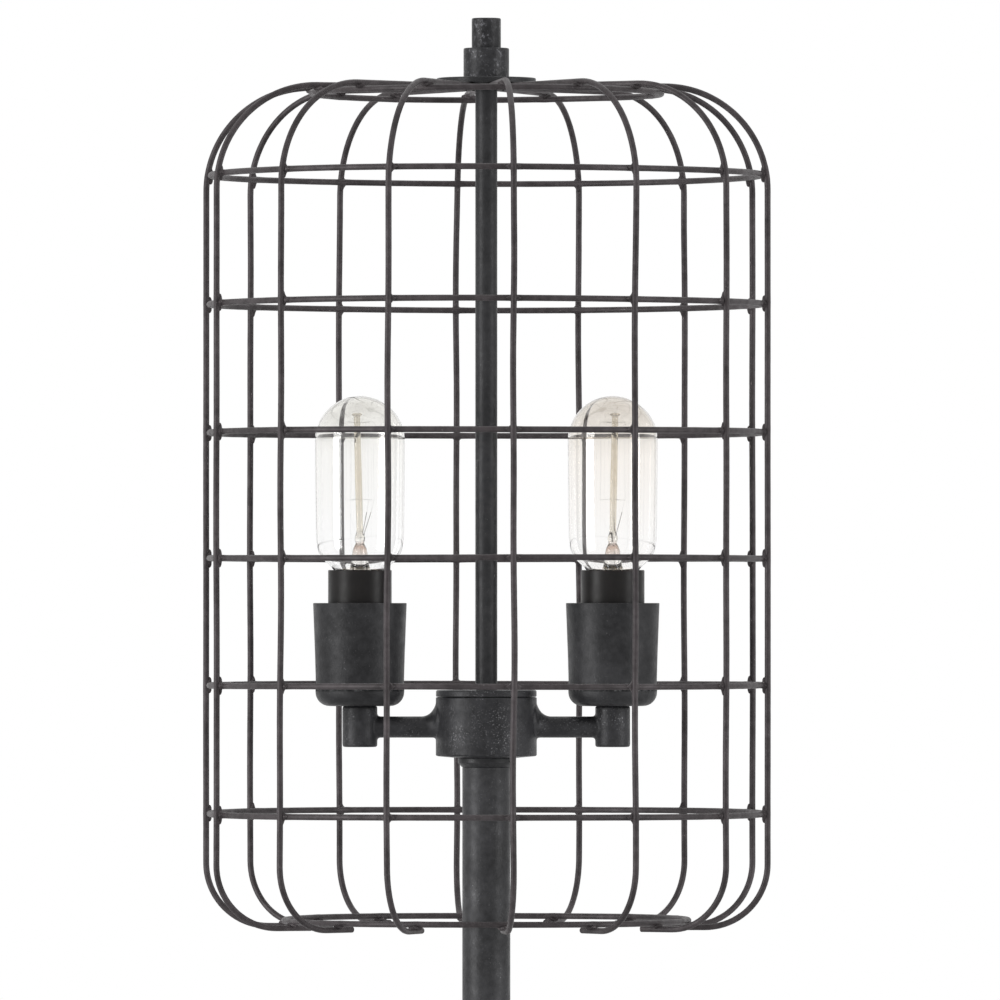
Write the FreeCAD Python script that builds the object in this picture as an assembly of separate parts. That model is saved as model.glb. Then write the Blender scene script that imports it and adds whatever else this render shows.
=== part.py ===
import FreeCAD, Part
import math
import os

# Wire cage floor lamp with two upright bulbs. Millimetres, Z up, floor at Z = 0.
# The pole stands on the Z axis, the arms reach along X and the lamp faces -Y.
V = FreeCAD.Vector
UP = V(0, 0, 1)

# Base
base_diameter = 280.0
base_side_height = 12.0
base_edge_round = 5.0
base_top_rise = 7.0
boss_diameter = 84.0
boss_rise = 4.0
pad_thickness = 3.0
pad_inset = 6.0
nut_recess_radius = 24.0
nut_recess_depth = 12.0
cord_hole_radius = 4.0
cord_hole_height = 9.5
bushing_wall = 1.0
bushing_length = 12.0
bushing_inset = 1.0
flange_radius = 30.0
flange_floor = 6.0
flange_height = 26.0
flange_neck_wall = 4.0

# Pole and the threaded tube that holds the lamp together
pole_diameter = 24.0
pole_wall = 1.5
lower_pole_length = 560.0
upper_pole_length = 578.5
plug_length = 20.0
coupler_length = 80.0
nipple_radius = 4.8
nipple_bore = 3.0
nipple_reach = 14.0
thread_gap = 0.05
nut_across_flats = 14.0
nut_thickness = 3.0

# Socket cluster
neck_height = 4.5
neck_diameter = 28.6
neck_chamfer = 1.7
hub_diameter = 50.5
hub_height = 30.5
hub_wall = 4.75
hub_floor = 6.0
hub_dish = 1.0
lid_thickness = 3.5
lid_chamfer = 0.8
arm_diameter = 10.7
arm_height = 15.5
# Distance out from the hub's side, and how far the arm's upper line rises there
arm_fillet = [(-3.0, 7.5), (-0.5, 6.0), (1.2, 2.8), (3.0, 1.0), (6.0, 0.0)]
wire_way_radius = 3.0
socket_offset = 63.2
post_diameter = 17.5
post_height = 20.5
post_drop = 10.0
post_chamfer = 1.2
coupling_height = 24.0
coupling_window = 6.0

# Rod, cage disc and finial
rod_diameter = 11.0
rod_length = 303.0
spigot_length = 16.0
stud_radius = 4.0
stud_length = 14.0
running_gap = 0.08
disc_diameter = 49.8
disc_thickness = 3.0
finial_collar_diameter = 22.8
finial_collar_height = 15.0
finial_knob_diameter = 14.6
finial_knob_height = 15.0
finial_spigot_length = 3.0
finial_chamfer = 1.0

# Cage: ribs outside, rings welded to their inner faces
wire = 3.1
cage_diameter = 285.9
cage_height = 425.75
shoulder_bend = 52.0
bottom_bend = 31.5
rib_count = 14
first_rib_turn = 5.9
rib_start_radius = 12.0
rib_end_radius = 92.0
ring_count = 6
first_ring_drop = 48.8
last_ring_rise = 57.95
top_ring_radius = 87.5
bottom_ring_radius = 101.0
side_ring_facets = 3
end_ring_facets = 2
shoulder_steps = 6
bottom_steps = 4

# Sockets, measured up from the top of the post
cup_height = 51.5
cup_mouth_radius = 23.5
cup_foot_radius = 22.25
cup_bowl_round = 7.0
cup_wall = 1.2
sleeve_radius = 16.0
sleeve_top = 68.0
sleeve_mouth_chamfer = 1.4
shell_bore_floor = 41.0
shell_wall = 0.6
shell_height = 23.0
shell_floor_hole = 8.0
tongue_width = 6.0
tongue_thickness = 0.8

# Bulb, measured up from its contact
bulb_length = 110.0
bulb_radius = 22.5
bulb_glass_wall = 1.0
bulb_shoulder_height = 36.0
bulb_neck_radius = 12.3
bulb_neck_foot = 15.0
bulb_throat_radius = 14.6
bulb_throat_height = 24.4
cap_radius = 13.1
cap_foot = 4.0
cap_height = 21.0
contact_radius = 4.8
contact_shoulder = 9.5
contact_button = 1.2
contact_gap = 0.4
screw_gap = 0.3
stem_press_height = 39.0
stem_rod_radius = 1.1
stem_rod_height = 99.0
filament_low = 58.0
filament_high = 97.0
filament_radius = 7.5
filament_strands = 6
filament_wire = 0.6
lead_spread = 4.0

# The poles and the rod are true round bars, the other round pieces have flat sides
base_sides = 40
hub_sides = 32
visible_sides = 24
socket_sides = 20
arm_sides = 16
hidden_sides = 16
thread_sides = 12
stem_sides = 10

# Heights, worked out from the floor up
base_bottom = pad_thickness
base_side_top = base_bottom + base_side_height
base_edge_top = base_side_top + base_edge_round
base_top = base_edge_top + base_top_rise
boss_top = base_top + boss_rise
recess_top = base_bottom + nut_recess_depth
pole_bottom = boss_top + flange_floor
pole_joint = pole_bottom + lower_pole_length
pole_top = pole_joint + upper_pole_length
hub_bottom = pole_top + neck_height
hub_top = hub_bottom + hub_height
lid_top = hub_top + lid_thickness
arm_level = hub_bottom + arm_height
post_bottom = arm_level - post_drop
post_top = post_bottom + post_height
disc_bottom = lid_top + rod_length
disc_top = disc_bottom + disc_thickness
collar_top = disc_top + finial_collar_height
knob_top = collar_top + finial_knob_height

# Radii and levels that several pieces share
base_radius = base_diameter / 2
pole_radius = pole_diameter / 2
plug_radius = pole_radius - pole_wall - thread_gap
thread_bore = (nipple_radius + thread_gap) / math.cos(math.pi / thread_sides)
rib_radius = (cage_diameter - wire) / 2
rib_top = disc_bottom - wire / 2
rib_bottom = disc_top - cage_height + wire / 2
ring_spacing = (cage_height - first_ring_drop - last_ring_rise) / (ring_count - 1)
cup_floor = post_top + cup_wall
socket_foot = cup_floor + nut_thickness
tongue_floor = post_top + shell_bore_floor
tongue_top = tongue_floor + 4 - contact_gap
bulb_foot = tongue_top + contact_gap

shapes = {}


def turned(outline):
    """A true round piece: the (radius, height) outline turns once about Z."""
    corners = [V(radius, 0, height) for radius, height in outline]
    face = Part.Face(Part.makePolygon(corners + corners[:1]))
    return face.revolve(V(0, 0, 0), UP, 360)


def faceted(outline, sides):
    """A round piece with flat sides: the (radius, height) outline's corners repeat about Z."""
    stations = []
    for side in range(sides):
        angle = 2 * math.pi * side / sides
        stations.append([V(r * math.cos(angle), r * math.sin(angle), z) for r, z in outline])
    faces = []
    for side in range(sides):
        here = stations[side]
        there = stations[(side + 1) % sides]
        for index in range(len(outline)):
            after = (index + 1) % len(outline)
            add_flat(faces, [here[index], here[after], there[after], there[index]])
    solid = Part.makeSolid(Part.makeShell(faces))
    if solid.Volume < 0:
        solid.reverse()
    return solid.removeSplitter()


def skinned(sections):
    """A solid with flat faces between matching corners of one section and the next."""
    faces = []
    add_flat(faces, sections[0])
    add_flat(faces, sections[-1])
    for here, there in zip(sections, sections[1:]):
        for index in range(len(here)):
            after = (index + 1) % len(here)
            add_flat(faces, [here[index], here[after], there[after], there[index]])
    solid = Part.makeSolid(Part.makeShell(faces))
    if solid.Volume < 0:
        solid.reverse()
    return solid.removeSplitter()


def add_flat(faces, corners):
    """Add a flat face, leaving out corners that meet on the axis."""
    kept = []
    for corner in corners:
        if all(corner.distanceToPoint(other) > 1e-6 for other in kept):
            kept.append(corner)
    if len(kept) > 2:
        faces.append(Part.Face(Part.makePolygon(kept + kept[:1])))


def arc_points(radius, height, bend, start, end, steps):
    """Points of a bend about (radius, height), from one angle in degrees to another."""
    points = []
    for step in range(steps + 1):
        angle = math.radians(start + (end - start) * step / steps)
        points.append((radius + bend * math.cos(angle), height + bend * math.sin(angle)))
    return points


def cylinder(radius, start, way, length):
    return Part.makeCylinder(radius, length, start, way)


def bore_corner(radius, sides):
    """Corner radius of a hole with flat sides that a bar of this radius just fits."""
    return radius / math.cos(math.pi / sides)


def hex_bar(across_flats, bottom, height):
    """An upright six-sided bar, as a nut or a coupling is cut from."""
    reach = across_flats / math.sqrt(3)
    corners = [V(reach * math.cos(math.radians(60 * k)), reach * math.sin(math.radians(60 * k)), bottom)
               for k in range(6)]
    return Part.Face(Part.makePolygon(corners + corners[:1])).extrude(UP * height)


def tube_outline(outer, inner, bottom, top):
    return [(inner, bottom), (outer, bottom), (outer, top), (inner, top)]


def drilled(shape, radius, bottom, top):
    """Cut a true round hole up the Z axis."""
    return shape.cut(cylinder(radius, V(0, 0, bottom), UP, top - bottom))


def placed(shape, x):
    moved = shape.copy()
    moved.translate(V(x, 0, 0))
    return moved


def make_base():
    """Foam pad, cast disc with a nut recess below, cord bushing and pole flange."""
    pad_radius = base_radius - pad_inset
    shapes["base_pad"] = faceted([(0, 0), (pad_radius, 0), (pad_radius, pad_thickness), (0, pad_thickness)],
                                 base_sides)

    boss_radius = boss_diameter / 2
    outline = [(thread_bore, recess_top), (nut_recess_radius, recess_top),
               (nut_recess_radius, base_bottom), (base_radius, base_bottom)]
    outline += arc_points(base_radius - base_edge_round, base_side_top, base_edge_round, 0, 90, 2)
    outline += [(boss_radius + boss_rise, base_top), (boss_radius, boss_top), (thread_bore, boss_top)]
    casting = faceted(outline, base_sides)
    hole_start = V(0, nut_recess_radius - 2, cord_hole_height)
    cord_hole = cylinder(cord_hole_radius, hole_start, V(0, 1, 0), base_radius)
    shapes["base_casting"] = casting.cut(cord_hole)

    bushing = faceted([(0, 0), (cord_hole_radius, 0), (cord_hole_radius, bushing_length), (0, bushing_length)],
                      hidden_sides)
    bushing = drilled(bushing, cord_hole_radius - bushing_wall, 0, bushing_length)
    bushing.rotate(V(0, 0, 0), V(1, 0, 0), -90)
    bushing.translate(V(0, base_radius - bushing_length - bushing_inset, cord_hole_height))
    shapes["cord_bushing"] = bushing

    socket = bore_corner(pole_radius + thread_gap, visible_sides)
    neck = pole_radius + flange_neck_wall
    outline = [(thread_bore, boss_top), (flange_radius, boss_top), (flange_radius, boss_top + flange_floor / 2),
               (neck, pole_bottom + flange_neck_wall), (neck, boss_top + flange_height),
               (socket, boss_top + flange_height), (socket, pole_bottom), (thread_bore, pole_bottom)]
    shapes["base_flange"] = faceted(outline, visible_sides)


def make_pole():
    """Two pole tubes, their threaded inserts, and the nipples and nuts of the whole lamp."""
    inner = pole_radius - pole_wall
    shapes["pole_lower"] = turned(tube_outline(pole_radius, inner, pole_bottom, pole_joint))
    shapes["pole_upper"] = turned(tube_outline(pole_radius, inner, pole_joint, pole_top))

    inserts = [(thread_bore, pole_bottom, pole_bottom + plug_length),
               (plug_radius - 2 * pole_wall, pole_joint - coupler_length / 2, pole_joint + coupler_length / 2),
               (thread_bore, pole_top - plug_length, pole_top)]
    shapes["pole_inserts"] = Part.makeCompound([
        faceted(tube_outline(plug_radius, bore, bottom, top), hidden_sides) for bore, bottom, top in inserts])

    nipples = [nipple(recess_top - 2 * nut_thickness, pole_bottom + nipple_reach),
               nipple(pole_top - nipple_reach, hub_bottom + nipple_reach + 2)]
    socket_nipple = nipple(arm_level - post_drop / 2, socket_foot + nipple_reach / 2)
    nuts = [lock_nut(recess_top - nut_thickness)]
    for side in (-1, 1):
        nipples.append(placed(socket_nipple, side * socket_offset))
        nuts.append(placed(lock_nut(cup_floor), side * socket_offset))
    shapes["threaded_nipples"] = Part.makeCompound(nipples)
    shapes["lock_nuts"] = Part.makeCompound(nuts)


def nipple(bottom, top):
    """A length of the threaded tube that the wires run through."""
    return faceted(tube_outline(nipple_radius, nipple_bore, bottom, top), thread_sides)


def lock_nut(bottom):
    top = bottom + nut_thickness
    thread = faceted([(0, bottom), (thread_bore, bottom), (thread_bore, top), (0, top)], thread_sides)
    return hex_bar(nut_across_flats, bottom, nut_thickness).cut(thread)


def make_cluster():
    """Neck ring, cast hub with its two arms and posts, lid, and the coupling inside."""
    neck = neck_diameter / 2
    shapes["neck_collar"] = faceted([(thread_bore, pole_top), (neck - neck_chamfer, pole_top),
                                     (neck, pole_top + neck_chamfer), (neck, hub_bottom),
                                     (thread_bore, hub_bottom)], visible_sides)

    hub = hub_diameter / 2
    cavity = hub - hub_wall
    floor = hub_bottom + hub_floor
    casting = faceted([(0, hub_bottom), (neck, hub_bottom), (hub, hub_bottom + hub_dish), (hub, hub_top),
                       (0, hub_top)], hub_sides)
    for side in (-1, 1):
        casting = casting.fuse(arm_and_post(side))
    casting = casting.cut(faceted([(0, hub_bottom - 1), (thread_bore, hub_bottom - 1), (thread_bore, floor),
                                   (cavity, floor), (cavity, hub_top + 1), (0, hub_top + 1)], visible_sides))
    well_bottom = arm_level - post_drop / 2
    well = faceted([(0, well_bottom), (thread_bore, well_bottom), (thread_bore, post_top + 1), (0, post_top + 1)],
                   thread_sides)
    for side in (-1, 1):
        casting = casting.cut(placed(well, side * socket_offset))
        casting = casting.cut(sideways([(0, cavity - 1), (wire_way_radius, cavity - 1),
                                        (wire_way_radius, socket_offset), (0, socket_offset)], thread_sides, side))
    shapes["cluster_casting"] = casting.removeSplitter()

    shapes["cluster_lid"] = faceted([(thread_bore, hub_top), (hub, hub_top), (hub, lid_top - lid_chamfer),
                                     (hub - lid_chamfer, lid_top), (thread_bore, lid_top)], hub_sides)

    coupling = hex_bar(nut_across_flats, floor, coupling_height)
    coupling = coupling.cut(faceted([(0, floor), (thread_bore, floor), (thread_bore, floor + coupling_height),
                                     (0, floor + coupling_height)], thread_sides))
    window = Part.makeBox(nut_across_flats, 2 * nut_across_flats, coupling_window / 2,
                          V(0, -nut_across_flats, hub_bottom + nipple_reach + 2))
    shapes["rod_coupling"] = coupling.cut(window)


def sideways(outline, sides, side):
    """A faceted piece laid along X at the arms' level: heights in the outline run out from the axis."""
    shape = faceted(outline, sides)
    shape.rotate(V(0, 0, 0), V(0, 1, 0), side * 90)
    shape.translate(V(0, 0, arm_level))
    return shape


def arm_section(x, rise):
    """The arm's round section at x: its lower line stays level and its upper line rises."""
    radius = (arm_diameter + rise) / 2
    corners = []
    for k in range(arm_sides):
        angle = 2 * math.pi * k / arm_sides
        corners.append(V(x, radius * math.cos(angle), arm_level + rise / 2 + radius * math.sin(angle)))
    return corners


def arm_and_post(side):
    """One arm of the casting, its upper side swept up into the hub, with its upright post."""
    sections = [arm_section(side * (hub_diameter / 2 + out), rise) for out, rise in arm_fillet]
    arm_shape = skinned(sections + [arm_section(side * socket_offset, 0)])
    post = post_diameter / 2
    post_shape = faceted([(0, post_bottom), (post - post_chamfer, post_bottom), (post, post_bottom + post_chamfer),
                          (post, post_top), (0, post_top)], visible_sides)
    return arm_shape.fuse(placed(post_shape, side * socket_offset))


def make_rod_and_finial():
    """Rod with a spigot below and a stud above, and the two pieces of the finial."""
    rod = rod_diameter / 2
    shapes["upper_rod"] = turned([(0, lid_top - spigot_length), (nipple_radius, lid_top - spigot_length),
                                  (nipple_radius, lid_top), (rod, lid_top), (rod, disc_bottom),
                                  (stud_radius, disc_bottom), (stud_radius, disc_bottom + stud_length),
                                  (0, disc_bottom + stud_length)])
    bore = stud_radius + running_gap
    collar = finial_collar_diameter / 2
    collar_shape = faceted([(0, disc_top), (collar, disc_top), (collar, collar_top - finial_chamfer),
                            (collar - finial_chamfer, collar_top), (0, collar_top)], visible_sides)
    shapes["finial_collar"] = drilled(collar_shape, bore, disc_top, collar_top)
    knob = finial_knob_diameter / 2
    spigot_foot = collar_top - finial_spigot_length
    shapes["finial_knob"] = faceted([(0, spigot_foot), (stud_radius, spigot_foot), (stud_radius, collar_top),
                                     (knob, collar_top), (knob, knob_top - finial_chamfer),
                                     (knob - finial_chamfer, knob_top), (0, knob_top)], visible_sides)


def hexagon(centre, flat_way, other_way):
    """The wire's section: six sides, two of them square to flat_way."""
    reach = wire / math.sqrt(3)
    corners = []
    for k in range(6):
        angle = math.radians(30 + 60 * k)
        corners.append(centre + flat_way * (reach * math.cos(angle)) + other_way * (reach * math.sin(angle)))
    return Part.makePolygon(corners + corners[:1])


def rib_points():
    """The rib's centreline: out under the disc, round the shoulder, down, and in at the bottom."""
    points = [(rib_start_radius, rib_top)]
    points += arc_points(rib_radius - shoulder_bend, rib_top - shoulder_bend, shoulder_bend, 90, 0, shoulder_steps)
    points += arc_points(rib_radius - bottom_bend, rib_bottom + bottom_bend, bottom_bend, 0, -90, bottom_steps)
    points.append((rib_end_radius, rib_bottom))
    return points


def rib_radius_at(height):
    """How far out the rib's centreline is at a height, above the bottom bend."""
    points = rib_points()
    for (r0, z0), (r1, z1) in zip(points, points[1:]):
        if z0 > height >= z1:
            return r0 + (r1 - r0) * (height - z0) / (z1 - z0)
    raise ValueError("no rib at this height")


def turned_to_rib(shape, index):
    """Turn a shape from +X to the rib with this index, counted from the front."""
    placed_shape = shape.copy()
    placed_shape.rotate(V(0, 0, 0), UP, first_rib_turn - 90 + index * 360 / rib_count)
    return placed_shape


def make_ring(radius, height, facets_per_rib, flat_up):
    """A ring of straight wire lengths, with a flat side towards every rib that it meets."""
    facets = facets_per_rib * rib_count
    corner_radius = radius / math.cos(math.pi / facets)
    corners = []
    for k in range(facets):
        angle = 2 * math.pi * (k + 0.5) / facets
        corners.append(V(corner_radius * math.cos(angle), corner_radius * math.sin(angle), height))
    start = V(radius, 0, height)
    out = V(1, 0, 0)
    section = hexagon(start, UP, out) if flat_up else hexagon(start, out, UP)
    path = Part.makePolygon([start] + corners + [start])
    return turned_to_rib(path.makePipeShell([section], True, False, 1), 0)


def make_cage():
    """Hub disc, ribs, and the rings inside them."""
    bore = stud_radius + running_gap
    disc = disc_diameter / 2
    blank = faceted([(0, disc_bottom), (disc, disc_bottom), (disc, disc_top), (0, disc_top)], hub_sides)
    shapes["cage_disc"] = drilled(blank, bore, disc_bottom, disc_top)
    path = Part.makePolygon([V(radius, 0, height) for radius, height in rib_points()])
    section = hexagon(V(rib_start_radius, 0, rib_top), UP, V(0, 1, 0))
    rib = path.makePipeShell([section], True, False, 1)
    for index in range(rib_count):
        shapes["cage_rib_%02d" % (index + 1)] = turned_to_rib(rib, index)
    shapes["cage_top_ring"] = make_ring(top_ring_radius, rib_top - wire, end_ring_facets, True)
    for index in range(ring_count):
        height = disc_top - first_ring_drop - index * ring_spacing
        shapes["cage_ring_%d" % (index + 1)] = make_ring(rib_radius_at(height) - wire, height,
                                                           side_ring_facets, False)
    shapes["cage_bottom_ring"] = make_ring(bottom_ring_radius, rib_bottom + wire, end_ring_facets, True)


def socket_pieces():
    """Metal cup, moulded body, screw shell and centre tongue of one socket, on the Z axis."""
    foot = cup_foot_radius - cup_bowl_round
    bowl = arc_points(foot, post_top + cup_bowl_round, cup_bowl_round, -90, 0, 2)
    hollow = arc_points(foot, post_top + cup_bowl_round, cup_bowl_round - cup_wall, 0, -90, 2)
    cup_top = post_top + cup_height
    outline = [(thread_bore, post_top)] + bowl + [(cup_mouth_radius, cup_top), (cup_mouth_radius - cup_wall, cup_top)]
    outline += hollow + [(thread_bore, cup_floor)]
    cup = faceted(outline, socket_sides)

    body_top = post_top + sleeve_top
    inner = bore_corner(cap_radius + screw_gap, hidden_sides)
    outer = inner + shell_wall
    bore = bore_corner(outer, socket_sides) + thread_gap
    mouth = body_top - sleeve_mouth_chamfer
    nipple_top = socket_foot + nipple_reach / 2
    outline = [(thread_bore, socket_foot), (sleeve_radius, socket_foot), (sleeve_radius, body_top),
               (bore + sleeve_mouth_chamfer / 2, body_top), (bore, mouth), (bore, tongue_floor),
               (0, tongue_floor), (0, nipple_top + 1), (thread_bore, nipple_top + 1)]
    body = faceted(outline, socket_sides)

    shell_foot = tongue_floor + tongue_thickness
    shell_top = shell_foot + shell_height
    shell = faceted([(shell_floor_hole, shell_foot), (outer, shell_foot), (outer, shell_top), (inner, shell_top),
                     (inner, shell_foot + shell_wall), (shell_floor_hole, shell_foot + shell_wall)], hidden_sides)

    bottom = tongue_floor
    half = shell_floor_hole - 1
    side_view = [V(-half, 0, bottom), V(half, 0, bottom), V(half, 0, bottom + tongue_thickness),
                 V(2, 0, tongue_top), V(-2, 0, tongue_top), V(-2, 0, tongue_top - tongue_thickness),
                 V(2, 0, tongue_top - tongue_thickness), V(half - 2, 0, bottom + tongue_thickness),
                 V(-half, 0, bottom + tongue_thickness)]
    tongue = Part.Face(Part.makePolygon(side_view + side_view[:1])).extrude(V(0, tongue_width, 0))
    tongue.translate(V(0, -tongue_width / 2, 0))
    return {"socket_cup": cup, "socket_body": body, "screw_shell": shell, "centre_tongue": tongue}


def glass_outline():
    """The glass tube's wall, outside and back down the inside."""
    wall = bulb_glass_wall
    dome = bulb_foot + bulb_length - bulb_radius
    shoulder = bulb_foot + bulb_shoulder_height
    throat = bulb_foot + bulb_throat_height
    neck = bulb_foot + bulb_neck_foot
    outside = [(bulb_neck_radius, neck), (bulb_neck_radius, throat - 3), (bulb_throat_radius, throat),
               (bulb_radius - 2, shoulder - 4)]
    outside += [(bulb_radius, shoulder)] + arc_points(0, dome, bulb_radius, 0, 90, 4)
    inside = arc_points(0, dome, bulb_radius - wall, 90, 0, 3)
    inside += [(bulb_radius - wall, shoulder), (bulb_radius - 2 - wall, shoulder - 4 + wall / 2),
               (bulb_throat_radius - wall, throat + wall / 2), (bulb_neck_radius - wall, throat - 3 + wall / 2),
               (bulb_neck_radius - wall, neck)]
    return outside + inside


def bulb_pieces():
    """Glass, screw cap, contact, glass stem and filament of one bulb, on the Z axis."""
    glass = faceted(glass_outline(), socket_sides)
    neck = bulb_foot + bulb_neck_foot
    cap_bottom = bulb_foot + cap_foot
    cap_top = bulb_foot + cap_height
    pocket = bore_corner(bulb_neck_radius + thread_gap, hidden_sides)
    cap = faceted([(0, cap_bottom), (contact_shoulder, cap_bottom), (cap_radius, cap_bottom + 2),
                   (cap_radius, cap_top), (pocket, cap_top), (pocket, neck), (0, neck)], hidden_sides)
    contact = faceted([(0, bulb_foot), (contact_radius, bulb_foot), (contact_radius, bulb_foot + contact_button),
                       (contact_shoulder, cap_bottom), (0, cap_bottom)], hidden_sides)

    flare = bulb_neck_radius - bulb_glass_wall - thread_gap
    press = bulb_foot + stem_press_height
    rod_top = bulb_foot + stem_rod_height
    stem = faceted([(0, neck), (flare, neck), (flare, neck + 2), (3.6, press - 7), (3.0, press - 2),
                    (stem_rod_radius, press), (stem_rod_radius, rod_top), (0, rod_top)], stem_sides)
    return {"glass": glass, "cap": cap, "contact": contact, "stem": stem, "filament": make_filament(press)}


def square_wire(points):
    """A thin wire with square corners and a square section, along a bent line."""
    half = filament_wire / 2
    start = points[0]
    way = (points[1] - start).normalize()
    side = way.cross(V(0.3, 1, 0.2)).normalize()
    other = way.cross(side)
    section = [start + (side * a + other * b) * half for a, b in ((1, 1), (-1, 1), (-1, -1), (1, -1))]
    path = Part.makePolygon(points)
    return path.makePipeShell([Part.makePolygon(section + section[:1])], True, False, 1)


def make_filament(press):
    """Filament looped up and down between two sets of hooks, with its lead wires."""
    low = bulb_foot + filament_low
    high = bulb_foot + filament_high
    loop = []
    for strand in range(filament_strands):
        angle = 2 * math.pi * (strand + 0.5) / filament_strands
        x, y = filament_radius * math.cos(angle), filament_radius * math.sin(angle)
        ends = [V(x, y, low), V(x, y, high)]
        loop += ends if strand % 2 == 0 else ends[::-1]
    wires = [square_wire(loop)]
    for end in (loop[0], loop[-1]):
        foot = V(end.x, end.y, 0).normalize() * (stem_rod_radius + 1)
        knee = V(end.x, end.y, 0).normalize() * lead_spread
        wires.append(square_wire([V(foot.x, foot.y, press - filament_wire), V(knee.x, knee.y, press + 8),
                                  V(end.x, end.y, low - filament_wire)]))
    for strand in range(0, filament_strands, 2):
        angle = 2 * math.pi * (strand + 1) / filament_strands
        out = V(math.cos(angle), math.sin(angle), 0)
        reach = filament_radius * math.cos(math.pi / filament_strands)
        top_hook = square_wire([out * stem_rod_radius + UP * (high - filament_wire),
                                out * reach + UP * (high - filament_wire)])
        wires.append(top_hook)
    return Part.makeCompound(wires)


def make_sides():
    """A socket and a bulb on each post."""
    for side, x in (("left", -socket_offset), ("right", socket_offset)):
        for name, shape in socket_pieces().items():
            shapes["%s_%s" % (name, side)] = placed(shape, x)
        for name, shape in bulb_pieces().items():
            shapes["bulb_%s_%s" % (side, name)] = placed(shape, x)


make_base()
make_pole()
make_cluster()
make_rod_and_finial()
make_cage()
make_sides()

os.makedirs("parts", exist_ok=True)
for node, shape in shapes.items():
    shape.exportStep("parts/" + node + ".step")
print(len(shapes), "nodes, top at", knob_top)
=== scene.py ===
import math
import random

import bmesh
import bpy
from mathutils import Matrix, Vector


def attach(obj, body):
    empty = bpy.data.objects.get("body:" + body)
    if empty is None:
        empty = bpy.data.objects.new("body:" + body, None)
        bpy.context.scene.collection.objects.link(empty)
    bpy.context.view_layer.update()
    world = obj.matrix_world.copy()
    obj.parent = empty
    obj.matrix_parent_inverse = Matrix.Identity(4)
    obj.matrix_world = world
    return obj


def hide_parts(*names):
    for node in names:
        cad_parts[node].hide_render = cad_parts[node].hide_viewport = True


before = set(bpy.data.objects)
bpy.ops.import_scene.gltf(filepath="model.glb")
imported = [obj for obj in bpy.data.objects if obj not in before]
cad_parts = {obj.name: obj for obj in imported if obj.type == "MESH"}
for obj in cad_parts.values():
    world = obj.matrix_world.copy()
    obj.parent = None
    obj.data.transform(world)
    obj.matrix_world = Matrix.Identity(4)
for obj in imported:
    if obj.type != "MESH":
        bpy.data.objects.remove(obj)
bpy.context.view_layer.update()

# Looks of the wire cage floor lamp. Sizes are in millimetres, with the floor at Z = 0, as in the CAD model.
MM = 0.001

# Cage. WIRE is the radius of its wire.
WIRE = 1.55
RIB_RADIUS = 141.4
RIB_TOP = 1515.45
RIB_BOTTOM = 1095.8
RIB_START = 12.0
RIB_END = 92.0
SHOULDER_BEND = 52.0
BOTTOM_BEND = 31.5
RIB_COUNT = 14
FIRST_RIB = 5.9
HIGHEST_RING = 1471.2
RING_SPACING = 63.8
RING_HEIGHTS = [HIGHEST_RING - RING_SPACING * index for index in range(6)]
# Sideways set-off of each hand-bent rib near its top and bottom, counted from the front
RIB_DRIFT = [(-1.0, -1.0), (-0.9, -1.0), (-0.4, -0.9), (0.0, -0.4), (-0.2, -0.2), (0.9, 0.6), (1.0, 0.8),
             (0.9, 0.9), (1.0, 0.9), (0.7, 0.7), (0.5, 0.4), (0.0, -0.2), (0.0, -0.9), (0.3, -1.0)]
# How far each side ring sits above its even spacing
RING_DRIFT = [0.2, -0.5, -0.9, 0.0, 0.4, 0.0]
# Radius and height of the two end rings
TOP_RING = (87.5, 1512.35)
BOTTOM_RING = (101.0, 1098.9)
WIRE_SIDES = 14
RING_STEPS = 14
SIDE_WELD = 4.3
END_WELD = 3.5

# Stand, levels from the floor up
BASE_RADIUS = 140.0
PAD_RADIUS = 134.0
PAD_TOP = 3.0
RECESS_RADIUS = 24.0
RECESS_TOP = 15.0
BASE_SIDE_TOP = 20.0
BOSS_TOP = 31.0
WIRE_WAY = 5.0
THREAD_BORE = 4.9
THREAD_RADIUS = 4.7
POLE_RADIUS = 12.0
POLE_WALL = 1.5
POLE_FOOT = 37.0
FLANGE_TOP = 57.0
POLE_JOINT = 597.0
POLE_TOP = 1175.5
HUB_RADIUS = 25.25
HUB_BOTTOM = 1180.0
HUB_TOP = 1210.5
LID_TOP = 1214.0
ARM_LEVEL = 1195.5
ARM_RADIUS = 5.35
SOCKET_X = 63.2
POST_RADIUS = 8.75
POST_FOOT = 1185.5
POST_TOP = 1206.0
CUP_FLOOR = 1207.3
CUP_TOP = 1257.5
SLEEVE_RADIUS = 15.9
SLEEVE_MOUTH = 14.3
SLEEVE_FLOOR = 1247.0
SLEEVE_TOP = 1274.0
ROD_RADIUS = 5.5
STUD_RADIUS = 4.0
STUD_BORE = 4.1
STUD_TOP = 1531.0
DISC_RADIUS = 24.8
DISC_BOTTOM = 1517.0
DISC_TOP = 1520.0
COLLAR_RADIUS = 11.4
COLLAR_TOP = 1535.0
KNOB_RADIUS = 7.3
KNOB_TOP = 1550.0

# Bulb. The filament hangs between two levels on hooks around the stem's rod.
BULB_RADIUS = 22.5
DOME_LEVEL = 1338.5
GLASS_WALL = 0.6
STEM_PRESS = 1290.0
STEM_TOP = 1350.0
FILAMENT_LOW = 1309.0
FILAMENT_HIGH = 1348.0
FILAMENT_RADIUS = 7.2


# ---------------------------------------------------------------- mesh helpers

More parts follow.
